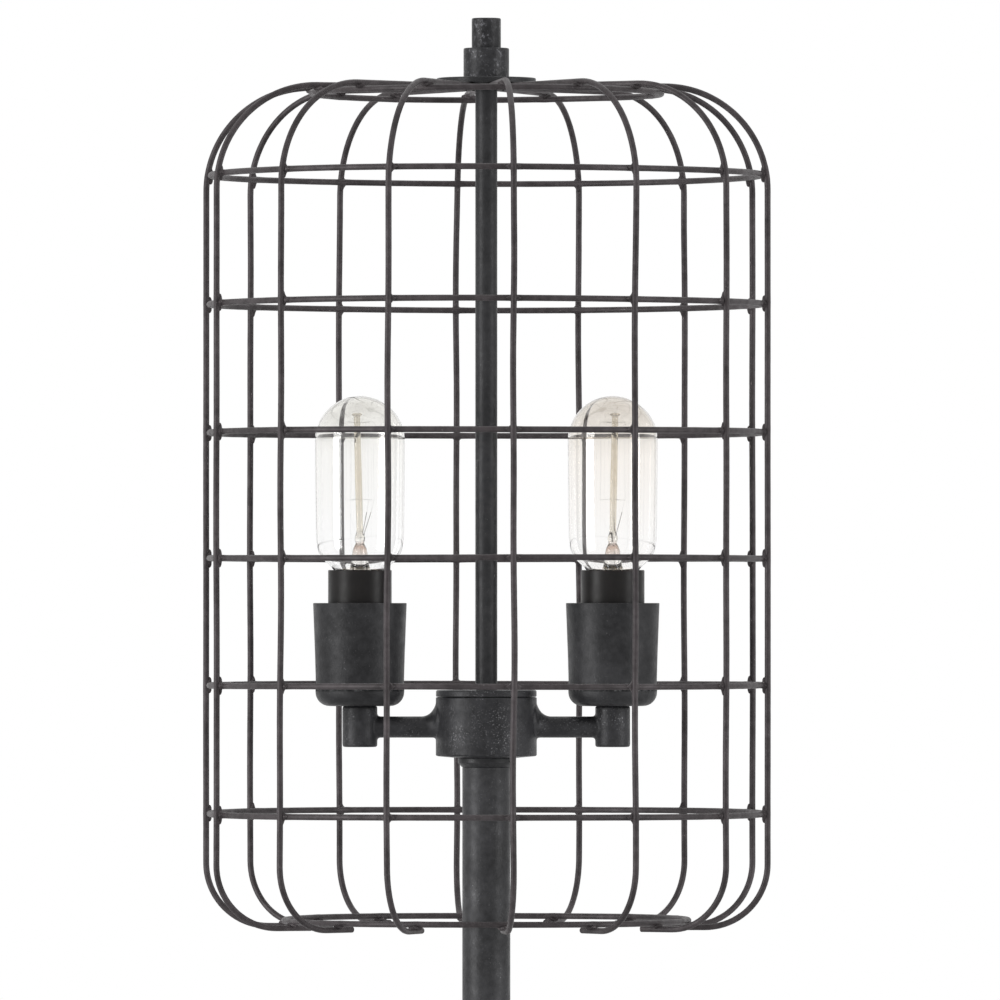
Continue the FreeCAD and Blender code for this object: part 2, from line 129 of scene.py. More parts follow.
def rounded(corners, steps=4, loop=False):
    """Outline points from (radius, height, bend) corners, each corner rounded by its bend."""
    points = []
    last = len(corners) - 1
    for index, (radius, height, bend) in enumerate(corners):
        here = Vector((radius, height))
        if bend == 0 or (not loop and index in (0, last)):
            points.append(here)
            continue
        back = (Vector(corners[index - 1][:2]) - here).normalized()
        ahead = (Vector(corners[(index + 1) % len(corners)][:2]) - here).normalized()
        half = back.angle(ahead) / 2
        reach = bend / math.tan(half)
        centre = here + (back + ahead).normalized() * (bend / math.sin(half))
        start = here + back * reach - centre
        end = here + ahead * reach - centre
        turn = start.angle(end)
        points.append(here + back * (reach + 0.2 * bend))
        for step in range(steps + 1):
            share = step / steps
            part = start * math.sin((1 - share) * turn) + end * math.sin(share * turn)
            points.append(centre + part / math.sin(turn))
        points.append(here + ahead * (reach + 0.2 * bend))
    return points


def lathe(points, segments=96, x=0.0, loop=False):
    """A round piece about the upright line at x, from outline points (radius, height)."""
    shape = bmesh.new()
    rings = []
    for radius, height in points:
        if radius < 1e-6:
            rings.append([shape.verts.new((x * MM, 0, height * MM))])
            continue
        ring = []
        for step in range(segments):
            angle = 2 * math.pi * step / segments
            ring.append(shape.verts.new(((x + radius * math.cos(angle)) * MM, radius * math.sin(angle) * MM,
                                         height * MM)))
        rings.append(ring)
    pairs = list(zip(rings, rings[1:]))
    if loop:
        pairs.append((rings[-1], rings[0]))
    for low, high in pairs:
        if len(low) > 1 or len(high) > 1:
            join_rings(shape, low, high, segments)
    bmesh.ops.recalc_face_normals(shape, faces=shape.faces)
    return shape


def join_rings(shape, low, high, segments):
    """Faces between two rings, either of which may be a single point."""
    for step in range(segments):
        after = (step + 1) % segments
        corners = [low[step % len(low)], low[after % len(low)]]
        corners += [high[after % len(high)], high[step % len(high)]]
        unique = list(dict.fromkeys(corners))
        if len(unique) > 2:
            shape.faces.new(unique)


def sweep(shape, stations, sides, closed=False):
    """A round wire through stations of (centre, across, other, radius), end to end or closed."""
    rings = []
    for centre, across, other, radius in stations:
        ring = []
        for step in range(sides):
            angle = 2 * math.pi * step / sides
            spot = centre + across * (radius * math.cos(angle)) + other * (radius * math.sin(angle))
            ring.append(shape.verts.new(spot * MM))
        rings.append(ring)
    pairs = list(zip(rings, rings[1:]))
    if closed:
        pairs.append((rings[-1], rings[0]))
    for low, high in pairs:
        join_rings(shape, low, high, sides)
    if not closed:
        for ring, station, way in ((rings[0], stations[0], -1), (rings[-1], stations[-1], 1)):
            centre, across, other, radius = station
            along = across.cross(other) * (0.25 * radius * way)
            inner = [shape.verts.new(centre * MM + (vertex.co - centre * MM) * 0.8 + along * MM)
                     for vertex in ring]
            join_rings(shape, ring, inner, sides)
            shape.faces.new(inner)
    bmesh.ops.recalc_face_normals(shape, faces=shape.faces)


def thin_wire(shape, points, radius, sides=8):
    """A thin wire along a line of points."""
    stations = []
    for index, point in enumerate(points):
        before = points[max(index - 1, 0)]
        after = points[min(index + 1, len(points) - 1)]
        along = (after - before).normalized()
        across = along.cross(Vector((0.31, 0.9, 0.17))).normalized()
        stations.append((point, across, along.cross(across), radius))
    sweep(shape, stations, sides)


def add_piece(shape, name, body, slot, nodes=(), sharp=40, look=None):
    """Turn the mesh into a piece that rides on a body and stands for CAD nodes."""
    mesh = bpy.data.meshes.new(name)
    shape.to_mesh(mesh)
    shape.free()
    mesh.polygons.foreach_set("use_smooth", [True] * len(mesh.polygons))
    mesh.set_sharp_from_angle(angle=math.radians(sharp))
    piece = bpy.data.objects.new(name, mesh)
    bpy.context.scene.collection.objects.link(piece)
    mesh.materials.append(materials[look or slot])
    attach(piece, body)
    if nodes:
        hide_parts(*nodes)
    return piece


# ---------------------------------------------------------------- materials

class Finish:
    """One procedural material: a principled shader and the nodes that drive it."""

    def __init__(self, name):
        self.material = bpy.data.materials.new(name)
        self.material.use_nodes = True
        self.tree = self.material.node_tree
        self.tree.nodes.clear()
        self.output = self.tree.nodes.new("ShaderNodeOutputMaterial")
        self.shader = self.tree.nodes.new("ShaderNodeBsdfPrincipled")
        self.tree.links.new(self.shader.outputs["BSDF"], self.output.inputs["Surface"])
        self.place = self.tree.nodes.new("ShaderNodeTexCoord").outputs["Object"]

    def set(self, **values):
        """Constant values of the shader's own sockets."""
        for name, value in values.items():
            self.shader.inputs[name.replace("_", " ")].default_value = value

    def link(self, source, name):
        """Drive one of the shader's sockets."""
        self.tree.links.new(source, self.shader.inputs[name])

    def noise(self, scale, detail=3.0, roughness=0.55, stretch=None):
        """Noise in object space, whose scale counts features along a metre."""
        node = self.tree.nodes.new("ShaderNodeTexNoise")
        node.inputs["Scale"].default_value = scale
        node.inputs["Detail"].default_value = detail
        node.inputs["Roughness"].default_value = roughness
        place = self.place
        if stretch:
            mapping = self.tree.nodes.new("ShaderNodeMapping")
            mapping.inputs["Scale"].default_value = stretch
            self.tree.links.new(place, mapping.inputs["Vector"])
            place = mapping.outputs["Vector"]
        self.tree.links.new(place, node.inputs["Vector"])
        return node.outputs["Fac"]

    def places(self):
        """The place along X and the height, in metres."""
        node = self.tree.nodes.new("ShaderNodeSeparateXYZ")
        self.tree.links.new(self.place, node.inputs["Vector"])
        return node.outputs["X"], node.outputs["Z"]

    def ramp(self, source, stops):
        """Colours along the source's value, from (position, colour) stops."""
        node = self.tree.nodes.new("ShaderNodeValToRGB")
        elements = node.color_ramp.elements
        while len(elements) < len(stops):
            elements.new(0.5)
        for element, (position, colour) in zip(elements, stops):
            element.position = position
            element.color = colour if len(colour) == 4 else (*colour, 1)
        self.tree.links.new(source, node.inputs["Fac"])
        return node.outputs["Color"]

    def level(self, source, low, high, start=0.0, end=1.0):
        """The source's range low to high, spread over start to end."""
        node = self.tree.nodes.new("ShaderNodeMapRange")
        for name, value in (("From Min", low), ("From Max", high), ("To Min", start), ("To Max", end)):
            node.inputs[name].default_value = value
        self.tree.links.new(source, node.inputs["Value"])
        return node.outputs["Result"]

    def math(self, operation, first, second):
        """Two numbers or sockets joined by one operation."""
        node = self.tree.nodes.new("ShaderNodeMath")
        node.operation = operation
        for index, value in enumerate((first, second)):
            if isinstance(value, (int, float)):
                node.inputs[index].default_value = value
            else:
                self.tree.links.new(value, node.inputs[index])
        return node.outputs["Value"]

    def mix(self, factor, first, second):
        """The first colour at factor 0 and the second at 1, each a tuple or a socket."""
        node = self.tree.nodes.new("ShaderNodeMix")
        node.data_type = "RGBA"
        self.tree.links.new(factor, node.inputs["Factor"])
        for name, value in (("A", first), ("B", second)):
            socket = [item for item in node.inputs if item.name == name and item.type == "RGBA"][0]
            if isinstance(value, tuple):
                socket.default_value = (*value, 1)
            else:
                self.tree.links.new(value, socket)
        return [item for item in node.outputs if item.type == "RGBA"][0]

    def edges(self, width):
        """1 on worn edges and 0 on open faces."""
        bevel = self.tree.nodes.new("ShaderNodeBevel")
        bevel.samples = 4
        bevel.inputs["Radius"].default_value = width * MM
        geometry = self.tree.nodes.new("ShaderNodeNewGeometry")
        dot = self.tree.nodes.new("ShaderNodeVectorMath")
        dot.operation = "DOT_PRODUCT"
        self.tree.links.new(bevel.outputs["Normal"], dot.inputs[0])
        self.tree.links.new(geometry.outputs["Normal"], dot.inputs[1])
        return self.level(dot.outputs["Value"], 0.97, 0.8)

    def absorb(self, colour, density):
        """Tint that grows with the length of the light's path through the piece."""
        node = self.tree.nodes.new("ShaderNodeVolumeAbsorption")
        node.inputs["Color"].default_value = (*colour, 1)
        node.inputs["Density"].default_value = density
        self.tree.links.new(node.outputs["Volume"], self.output.inputs["Volume"])

    def bump(self, height, strength, distance):
        """Relief from a height socket, at most distance millimetres deep."""
        node = self.tree.nodes.new("ShaderNodeBump")
        node.inputs["Strength"].default_value = strength
        node.inputs["Distance"].default_value = distance * MM
        self.tree.links.new(height, node.inputs["Height"])
        self.link(node.outputs["Normal"], "Normal")


def textured_coat(name, dark, light, glint_colour, wear, glint_share, roughness, grain=900, depth=0.16, patch=70):
    """Dark textured paint on iron: mottled, with pale flecks in patches that are painted glints on its
    grains, worn on its edges.
    """
    finish = Finish(name)
    cloud = finish.noise(38, 4)
    mottle = finish.noise(260, 3)
    tone = finish.math("ADD", finish.math("MULTIPLY", cloud, 0.55),
                       finish.math("MULTIPLY", mottle, 0.45))
    colour = finish.ramp(tone, [(0.36, dark), (0.66, light)])
    # Painted glints: pale flecks on the grains, gathered in patches, with a little less roughness there.
    patches = finish.level(finish.noise(patch, 2), 0.44, 0.64)
    grains = finish.noise(grain * 1.3, 3, 0.65)
    painted_glints = finish.math("MULTIPLY", finish.level(grains, 0.66 - glint_share, 0.84 - glint_share), patches)
    colour = finish.mix(painted_glints, colour, glint_colour)
    chips = finish.level(finish.noise(420, 3), 0.5, 0.62)
    rubbed = finish.math("MULTIPLY", finish.math("MULTIPLY", finish.edges(0.6), chips), 0.75)
    colour = finish.mix(rubbed, colour, wear)
    finish.link(colour, "Base Color")
    shine = finish.level(finish.noise(150, 3), 0.3, 0.7, roughness - 0.09, roughness + 0.1)
    shine = finish.math("SUBTRACT", shine, finish.math("MULTIPLY", painted_glints, 0.16))
    finish.link(shine, "Roughness")
    orange_peel = finish.math("ADD", finish.noise(grain, 2), finish.math("MULTIPLY", grains, 0.55))
    finish.bump(orange_peel, 0.75, depth)
    finish.set(Metallic=0.2, Specular_IOR_Level=0.24)
    return finish.material


def smooth_material(name, dark, light, roughness, metallic=0.0, scale=120, depth=0.03, stretch=None,
                    wear=None, shine=0.5):
    """A smoother finish: slight colour changes, uneven sheen and a fine grain."""
    finish = Finish(name)
    tone = finish.noise(scale, 4, 0.6, stretch)
    colour = finish.ramp(tone, [(0.3, dark), (0.7, light)])
    if wear:
        chips = finish.level(finish.noise(500, 3), 0.45, 0.6)
        colour = finish.mix(finish.math("MULTIPLY", finish.edges(1.1), chips), colour, wear)
    finish.link(colour, "Base Color")
    sheen = finish.level(finish.noise(scale * 2.2, 3), 0.3, 0.7, roughness * 0.8, roughness * 1.2)
    finish.link(sheen, "Roughness")
    finish.bump(finish.noise(scale * 9, 3, 0.6, stretch), 0.5, depth)
    finish.set(Metallic=metallic, Specular_IOR_Level=shine)
    return finish.material


def bulb_glass():
    """Thin glass with a grey tint that darkens towards the top and fades towards the bottom: clear on the
    left, champagne on the right.
    """
    finish = Finish("bulb_glass")
    along_x, upward = finish.places()
    height = finish.level(upward, 1.28, 1.362)
    tint_rise = finish.math("ADD", height, finish.level(finish.noise(45, 2), 0.3, 0.7, -0.03, 0.03))
    clear = finish.ramp(tint_rise, [(0.1, (0.995, 0.995, 0.995)), (0.62, (0.975, 0.972, 0.96)),
                                  (0.8, (0.93, 0.925, 0.905)), (1.0, (0.80, 0.79, 0.76))])
    champagne = finish.ramp(tint_rise, [(0.1, (0.995, 0.99, 0.985)), (0.6, (0.975, 0.955, 0.93)),
                                      (0.8, (0.90, 0.875, 0.84)), (1.0, (0.74, 0.70, 0.65))])
    finish.link(finish.mix(finish.level(along_x, -0.04, 0.04), clear, champagne), "Base Color")
    finish.link(finish.level(finish.noise(30, 2), 0.4, 0.7, 0.0, 0.015), "Roughness")
    finish.bump(finish.noise(18, 0), 0.02, 0.1)
    finish.set(IOR=1.47, Transmission_Weight=1.0)
    finish.absorb((0.52, 0.49, 0.43), 34)
    return finish.material


def stem_glass():
    """The thicker, slightly wavy glass of the stem: a reddish seal, a clear bead and an amber rod."""
    finish = Finish("stem_glass")
    height = finish.level(finish.places()[1], 1.275, 1.35)
    streaked = finish.math("ADD", height, finish.level(finish.noise(160, 2), 0.3, 0.7, -0.02, 0.02))
    finish.link(finish.ramp(streaked, [(0.05, (0.97, 0.97, 0.96)), (0.14, (0.62, 0.46, 0.38)),
                                       (0.19, (0.96, 0.95, 0.93)), (0.24, (0.80, 0.76, 0.68)),
                                       (0.6, (0.72, 0.66, 0.55)), (1.0, (0.74, 0.70, 0.62))]), "Base Color")
    finish.link(finish.level(finish.noise(220, 2), 0.4, 0.7, 0.0, 0.06), "Roughness")
    finish.bump(finish.noise(300, 2), 0.4, 0.12)
    finish.set(IOR=1.5, Transmission_Weight=1.0)
    finish.absorb((0.60, 0.54, 0.44), 30)
    return finish.material


materials = {
    "iron_finish": textured_coat("iron_finish", (0.011, 0.011, 0.012), (0.033, 0.033, 0.035),
                                 (0.13, 0.13, 0.135), (0.17, 0.17, 0.175), 0.04, 0.44),
    # A lighter copy of the iron paint for the pole: painted light, brighter than the same paint elsewhere.
    "iron_pole_painted_lit": textured_coat("iron_pole_painted_lit", (0.017, 0.017, 0.018), (0.047, 0.047, 0.050),
                               (0.16, 0.16, 0.165), (0.19, 0.19, 0.195), 0.05, 0.44),
    # The cast hub and the finial carry more and paler painted glints.
    "iron_cast": textured_coat("iron_cast", (0.011, 0.011, 0.012), (0.036, 0.036, 0.039),
                               (0.26, 0.26, 0.27), (0.16, 0.16, 0.165), 0.09, 0.42, 900, 0.22, 55),
    "iron_finial": textured_coat("iron_finial", (0.008, 0.008, 0.009), (0.040, 0.040, 0.043),
                                 (0.24, 0.24, 0.26), (0.16, 0.16, 0.165), 0.12, 0.40, 480, 0.40, 130),
    "cast_iron_base": textured_coat("cast_iron_base", (0.014, 0.014, 0.016), (0.036, 0.036, 0.039),
                                    (0.24, 0.24, 0.25), (0.15, 0.15, 0.155), 0.04, 0.52, 700, 0.22),
    "cage_wire": textured_coat("cage_wire", (0.024, 0.020, 0.021), (0.066, 0.057, 0.060),
                               (0.26, 0.25, 0.25), (0.20, 0.17, 0.17), 0.03, 0.46, 1100, 0.10),
    "foam_pad": smooth_material("foam_pad", (0.012, 0.012, 0.013), (0.028, 0.028, 0.030), 0.8, 0, 240, 0.3),
    "black_rubber": smooth_material("black_rubber", (0.012, 0.012, 0.012), (0.024, 0.024, 0.025), 0.6, 0,
                                    300, 0.08),
    "zinc_steel": smooth_material("zinc_steel", (0.42, 0.42, 0.43), (0.62, 0.62, 0.60), 0.35, 1, 260, 0.05),
    "black_phenolic": smooth_material("black_phenolic", (0.006, 0.0055, 0.0055), (0.013, 0.0115, 0.011),
                                      0.36, 0, 90, 0.02, (1, 1, 0.25), (0.085, 0.042, 0.028), 0.17),
    "brass": smooth_material("brass", (0.62, 0.42, 0.16), (0.80, 0.60, 0.28), 0.3, 1, 200, 0.03),
    "nickel_cap": smooth_material("nickel_cap", (0.55, 0.53, 0.49), (0.74, 0.72, 0.68), 0.28, 1, 180, 0.03),
    "solder_contact": smooth_material("solder_contact", (0.40, 0.40, 0.41), (0.60, 0.60, 0.61), 0.4, 1,
                                      500, 0.06),
    "filament_wire": smooth_material("filament_wire", (0.16, 0.15, 0.14), (0.32, 0.30, 0.28), 0.4, 1,
                                     900, 0.02),
    "bulb_glass": bulb_glass(),
    "stem_glass": stem_glass(),
}


# ---------------------------------------------------------------- base and pole

def build_base():
    """Foam foot, cast plate with its sloping top, and the flange that holds the pole."""
    foot = rounded([(0, 0, 0), (PAD_RADIUS, 0, 0.8), (PAD_RADIUS, PAD_TOP, 0.4), (0, PAD_TOP, 0)], 3)
    add_piece(lathe(foot, 160), "foam_foot", "stand", "foam_pad", ["base_pad"])
    rim = BASE_RADIUS - 0.1
    plate = rounded([(THREAD_BORE, RECESS_TOP, 0), (RECESS_RADIUS, RECESS_TOP, 0.5),
                     (RECESS_RADIUS, PAD_TOP, 0.6), (rim, PAD_TOP, 1.4), (rim, BASE_SIDE_TOP, 5), (46, 27, 6),
                     (42, BOSS_TOP, 1.2), (THREAD_BORE, BOSS_TOP, 0)], 6, True)
    shape = lathe(plate, 160, 0, True)
    add_piece(shape, "base_plate", "stand", "cast_iron_base", ["base_casting"])
    socket = POLE_RADIUS + 0.1
    flange = rounded([(socket, POLE_FOOT, 0), (WIRE_WAY, POLE_FOOT, 0), (WIRE_WAY, BOSS_TOP, 0),
                      (29.8, BOSS_TOP, 0.5), (29.8, BOSS_TOP + 3, 1.0), (16, 41, 3), (16, FLANGE_TOP, 1.1),
                      (socket, FLANGE_TOP, 0.4)], 6, True)
    add_piece(lathe(flange, 96, 0, True), "pole_flange", "stand", "iron_finish", ["base_flange"])


def build_pole():
    """Two tubes that meet at a fine seam halfway up."""
    for name, node, low, high in (("pole_lower_tube", "pole_lower", POLE_FOOT, POLE_JOINT),
                                  ("pole_upper_tube", "pole_upper", POLE_JOINT, POLE_TOP)):
        inner = POLE_RADIUS - POLE_WALL
        outline = rounded([(inner, low, 0), (POLE_RADIUS, low, 0.35), (POLE_RADIUS, high, 0.35),
                           (inner, high, 0)], 3, True)
        # The tubes take the lighter copy of the iron paint, which is painted light on the pole.
        add_piece(lathe(outline, 96, 0, True), name, "stand", "iron_finish", [node], look="iron_pole_painted_lit")
    neck = rounded([(THREAD_BORE, POLE_TOP, 0), (12.2, POLE_TOP, 0.3), (14.2, POLE_TOP + 2, 1.1),
                    (14.2, HUB_BOTTOM, 0.3), (THREAD_BORE, HUB_BOTTOM, 0)], 5, True)
    add_piece(lathe(neck, 96, 0, True), "neck_ring", "stand", "iron_finish", ["neck_collar"])


# ---------------------------------------------------------------- cluster

def build_cluster():
    """The casting's hub, arms and posts, grown into one skin, and the lid on its hub."""
    hub = lathe(rounded([(0, HUB_BOTTOM, 0), (14.3, HUB_BOTTOM, 3), (HUB_RADIUS, HUB_BOTTOM + 1, 0.5),
                         (HUB_RADIUS, HUB_TOP, 0.4), (0, HUB_TOP, 0)], 4), 128)
    for side in (-1, 1):
        merge(hub, build_arm(side))
        post = rounded([(0, POST_FOOT, 0), (POST_RADIUS, POST_FOOT, 1.0), (POST_RADIUS, POST_TOP, 0.5),
                        (0, POST_TOP, 0)], 4)
        merge(hub, lathe(post, 64, side * SOCKET_X))
    piece = add_piece(hub, "cluster_body", "stand", "iron_finish", ["cluster_casting"], 80, "iron_cast")
    remesh = piece.modifiers.new("one_skin", "REMESH")
    remesh.mode = "VOXEL"
    remesh.voxel_size = 0.6 * MM
    remesh.use_smooth_shade = True
    smooth = piece.modifiers.new("cast_edges", "SMOOTH")
    smooth.iterations = 3
    smooth.factor = 0.5

    edge, seam = HUB_RADIUS - 0.1, HUB_TOP + 0.15
    lid = rounded([(THREAD_BORE, seam, 0), (edge, seam, 0.5), (edge, LID_TOP, 0.9),
                   (THREAD_BORE, LID_TOP, 0)], 5, True)
    add_piece(lathe(lid, 128, 0, True), "cluster_cap", "stand", "iron_finish", ["cluster_lid"],
              look="iron_cast")


def build_arm(side):
    """A round bar whose lower line stays level while its upper line sweeps up into the hub."""
    shape = bmesh.new()
    stations = []
    for x, rise in ((21.5, 8.6), (23.6, 8.2), (24.8, 7.2), (25.4, 5.8), (26.0, 4.4), (26.8, 3.0), (27.8, 1.8),
                    (29.0, 0.9), (30.2, 0.35), (31.6, 0.0), (45.0, 0.0), (60.0, 0.0)):
        centre = Vector((side * x, 0, ARM_LEVEL + rise / 2))
        stations.append((centre, Vector((0, 1, 0)), Vector((0, 0, 1)), ARM_RADIUS + rise / 2))
    sweep(shape, stations, 48)
    return shape


def merge(shape, other):
    """Add another mesh's vertices and faces to this one."""
    bmesh.ops.recalc_face_normals(other, faces=other.faces)
    copies = {vertex: shape.verts.new(vertex.co) for vertex in other.verts}
    for face in other.faces:
        shape.faces.new([copies[vertex] for vertex in face.verts])
    other.free()


def build_rod_and_finial():
    """The rod with its spigot and stud, and the finial's collar and knob."""
    spigot_foot = LID_TOP - 16
    rod = rounded([(0, spigot_foot, 0), (THREAD_RADIUS, spigot_foot, 0.4), (THREAD_RADIUS, LID_TOP, 0),
                   (ROD_RADIUS, LID_TOP, 0.3), (ROD_RADIUS, DISC_BOTTOM, 0.3), (STUD_RADIUS, DISC_BOTTOM, 0),
                   (STUD_RADIUS, STUD_TOP, 0.4), (0, STUD_TOP, 0)], 3)
    add_piece(lathe(rod, 72), "rod_tube", "stand", "iron_finish", ["upper_rod"])
    collar = rounded([(STUD_BORE, DISC_TOP, 0), (COLLAR_RADIUS, DISC_TOP, 0.35),
                      (COLLAR_RADIUS, COLLAR_TOP, 0.7), (STUD_BORE, COLLAR_TOP, 0)], 4, True)
    add_piece(lathe(collar, 96, 0, True), "finial_ring", "finial", "iron_finish", ["finial_collar"],
              look="iron_finial")
    plug_foot = STUD_TOP + 1
    knob = rounded([(0, plug_foot, 0), (STUD_RADIUS, plug_foot, 0), (STUD_RADIUS, COLLAR_TOP, 0),
                    (KNOB_RADIUS, COLLAR_TOP, 0.3), (KNOB_RADIUS, KNOB_TOP, 0.7), (0, KNOB_TOP, 0)], 4)
    add_piece(lathe(knob, 96), "finial_cap", "finial", "iron_finish", ["finial_knob"], look="iron_finial")


# ---------------------------------------------------------------- cage

def rib_line():
    """Points of the rib's centreline as (radius, height, slope), about 3 mm apart."""
    points = [(RIB_START + step * 4.3, RIB_TOP, 90.0) for step in range(18)]
    centre = (RIB_RADIUS - SHOULDER_BEND, RIB_TOP - SHOULDER_BEND)
    for step in range(31):
        angle = 90 - 3 * step
        points.append((centre[0] + SHOULDER_BEND * math.cos(math.radians(angle)),
                       centre[1] + SHOULDER_BEND * math.sin(math.radians(angle)), angle))
    low = RIB_BOTTOM + BOTTOM_BEND
    drop = centre[1] - low
    points += [(RIB_RADIUS, centre[1] - drop * step / 96, 0.0) for step in range(1, 96)]
    for step in range(21):
        angle = -4.5 * step
        points.append((RIB_RADIUS - BOTTOM_BEND + BOTTOM_BEND * math.cos(math.radians(angle)),
                       low + BOTTOM_BEND * math.sin(math.radians(angle)), angle))
    last = RIB_RADIUS - BOTTOM_BEND
    points += [(last + (RIB_END - last) * step / 5, RIB_BOTTOM, -90.0) for step in range(1, 6)]
    return points


def rib_radius_at(height):
    """How far the rib's centreline is from the axis, above its bottom bend."""
    centre = RIB_TOP - SHOULDER_BEND
    if height <= centre:
        return RIB_RADIUS
    return RIB_RADIUS - SHOULDER_BEND + math.sqrt(SHOULDER_BEND ** 2 - (height - centre) ** 2)


def swell(height, levels):
    """How much thicker the wire is near a weld."""
    return sum(math.exp(-((height - level) / 2.6) ** 2) for level in levels)


def rib_directions(index):
    """The directions straight out at a rib and sideways across it."""
    angle = math.radians(FIRST_RIB + index * 360 / RIB_COUNT)
    return Vector((math.sin(angle), -math.cos(angle), 0)), Vector((math.cos(angle), math.sin(angle), 0))


def rib_sway(index, height):
    """How far a hand-bent rib strays sideways at a height: its set-off there, and gentle waves."""
    chance = random.Random(100 + index)
    share = (RIB_TOP - height) / (RIB_TOP - RIB_BOTTOM)
    high, low = RIB_DRIFT[index]
    sway = high + (low - high) * share
    for order in (1.3, 2.4, 4.1):
        sway += chance.uniform(0.08, 0.24) * math.sin(order * 6.28 * share + chance.uniform(0, 6.28))
    return sway * min(1.0, 6 * share) ** 0.7


def build_ribs():
    """Fourteen bent wires, each a little thicker where a ring is welded to it."""
    line = rib_line()
    for index in range(RIB_COUNT):
        chance = random.Random(200 + index)
        out, across = rib_directions(index)
        stations = []
        for radius, height, slope in line:
            centre = out * radius + Vector((0, 0, height)) + across * rib_sway(index, height)
            face = out * math.cos(math.radians(slope)) + Vector((0, 0, math.sin(math.radians(slope))))
            thick = WIRE * (1 - 0.02 * chance.random() + 0.035 * swell(height, RING_HEIGHTS))
            stations.append((centre, face, across, thick))
        shape = bmesh.new()
        sweep(shape, stations, WIRE_SIDES)
        add_piece(shape, "rib_wire_%02d" % (index + 1), "cage", "cage_wire", ["cage_rib_%02d" % (index + 1)])


def build_ring(name, node, radius, height, seed):
    """A ring of round wire, a little thicker where a rib is welded to it."""
    chance = random.Random(seed)
    phase = chance.uniform(0, 6.28)
    segments = RIB_COUNT * RING_STEPS
    stations = []
    for step in range(segments):
        angle = math.radians(FIRST_RIB) + 2 * math.pi * step / segments
        out = Vector((math.sin(angle), -math.cos(angle), 0))
        steps_off = min(step % RING_STEPS, RING_STEPS - step % RING_STEPS)
        from_rib = steps_off * 2 * math.pi * radius / segments
        thick = WIRE * (0.985 + 0.07 * math.exp(-(from_rib / 3.0) ** 2) + 0.02 * chance.random())
        lift = 0.15 * math.sin(3 * angle + phase)
        stations.append((out * radius + Vector((0, 0, height + lift)), out, Vector((0, 0, 1)), thick))
    shape = bmesh.new()
    sweep(shape, stations, WIRE_SIDES, True)
    add_piece(shape, name, "cage", "cage_wire", [node])


def weld_bead(shape, centre, across, up, out, size, chance):
    """A small web of weld metal in the four corners of a crossing: a flat star with curved-in sides."""
    spread = size * chance.uniform(0.94, 1.12)
    depth = 1.3
    power = 0.72
    around, rows = 24, 7
    rings = []
    for row in range(1, rows):
        lean = math.pi * (row / rows - 0.5)
        ring = []
        for step in range(around):
            angle = 2 * math.pi * step / around
            c, s = math.cos(angle), math.sin(angle)
            reach = spread / (abs(c) ** power + abs(s) ** power) ** (1 / power)
            reach *= math.cos(lean) ** 0.5
            spot = centre + across * (reach * c) + up * (reach * s) + out * (depth * math.sin(lean))
            ring.append(shape.verts.new(spot * MM))
        rings.append(ring)
    low = [shape.verts.new((centre - out * depth) * MM)]
    high = [shape.verts.new((centre + out * depth) * MM)]
    for first, second in zip([low] + rings, rings + [high]):
        join_rings(shape, first, second, around)


def build_welds():
    """Weld metal at every crossing of a rib and a ring."""
    chance = random.Random(7)
    shape = bmesh.new()
    for index in range(RIB_COUNT):
        out, across = rib_directions(index)
        up = Vector((0, 0, 1))
        for level, drift in zip(RING_HEIGHTS, RING_DRIFT):
            radius = rib_radius_at(level) - WIRE
            spot = out * radius + up * (level + drift) + across * rib_sway(index, level)
            weld_bead(shape, spot, across, up, out, SIDE_WELD, chance)
        for radius, level in ((TOP_RING[0], TOP_RING[1] + WIRE), (BOTTOM_RING[0], BOTTOM_RING[1] - WIRE)):
            spot = out * radius + up * level + across * rib_sway(index, level)
            weld_bead(shape, spot, across, out, up, END_WELD, chance)
    bmesh.ops.recalc_face_normals(shape, faces=shape.faces)
    add_piece(shape, "cage_welds", "cage", "cage_wire")


def build_cage():
    """Disc, ribs, rings and the weld metal between them."""
    disc = rounded([(STUD_BORE, DISC_BOTTOM, 0), (DISC_RADIUS, DISC_BOTTOM, 0.4),
                    (DISC_RADIUS, DISC_TOP, 0.6), (STUD_BORE, DISC_TOP, 0)], 4, True)
    add_piece(lathe(disc, 128, 0, True), "hub_disc", "cage", "cage_wire", ["cage_disc"], look="iron_finish")
    build_ribs()
    build_ring("ring_wire_top", "cage_top_ring", TOP_RING[0], TOP_RING[1], 31)
    for index, height in enumerate(RING_HEIGHTS):
        build_ring("ring_wire_%d" % (index + 1), "cage_ring_%d" % (index + 1),
                   rib_radius_at(height) - 2 * WIRE, height + RING_DRIFT[index], 40 + index)
    build_ring("ring_wire_bottom", "cage_bottom_ring", BOTTOM_RING[0], BOTTOM_RING[1], 60)
    build_welds()


# ---------------------------------------------------------------- sockets and bulbs

def build_socket(side, x):
    """Cup with a pressed bowl below its seam, and the moulded sleeve inside it."""
    cup = [(WIRE_WAY, POST_TOP, 0), (22.2, POST_TOP, 7), (22.2, 1213.6, 0.4), (21.9, 1214.1, 0.15),
           (22.0, 1216, 0.5), (22.45, 1232, 20), (23.4, CUP_TOP, 0.3), (22.4, CUP_TOP, 0.3), (21.2, 1232, 8),
           (20.9, 1216, 3), (20.9, CUP_FLOOR, 5.5), (WIRE_WAY, CUP_FLOOR, 0)]
    add_piece(lathe(rounded(cup, 8, True), 128, x, True), "cup_" + side, "stand", "iron_finish",
              ["socket_cup_" + side])
    sleeve = rounded([(0, 1222, 0), (WIRE_WAY, 1222, 0), (WIRE_WAY, 1210.2, 0), (SLEEVE_RADIUS, 1210.2, 0.5),
                      (SLEEVE_RADIUS, SLEEVE_TOP, 0.5), (14.9, SLEEVE_TOP, 0.3), (SLEEVE_MOUTH, 1272.4, 0.4),
                      (SLEEVE_MOUTH, SLEEVE_FLOOR, 0), (0, SLEEVE_FLOOR, 0)], 5)
    add_piece(lathe(sleeve, 96, x), "sleeve_" + side, "stand", "black_phenolic", ["socket_body_" + side])


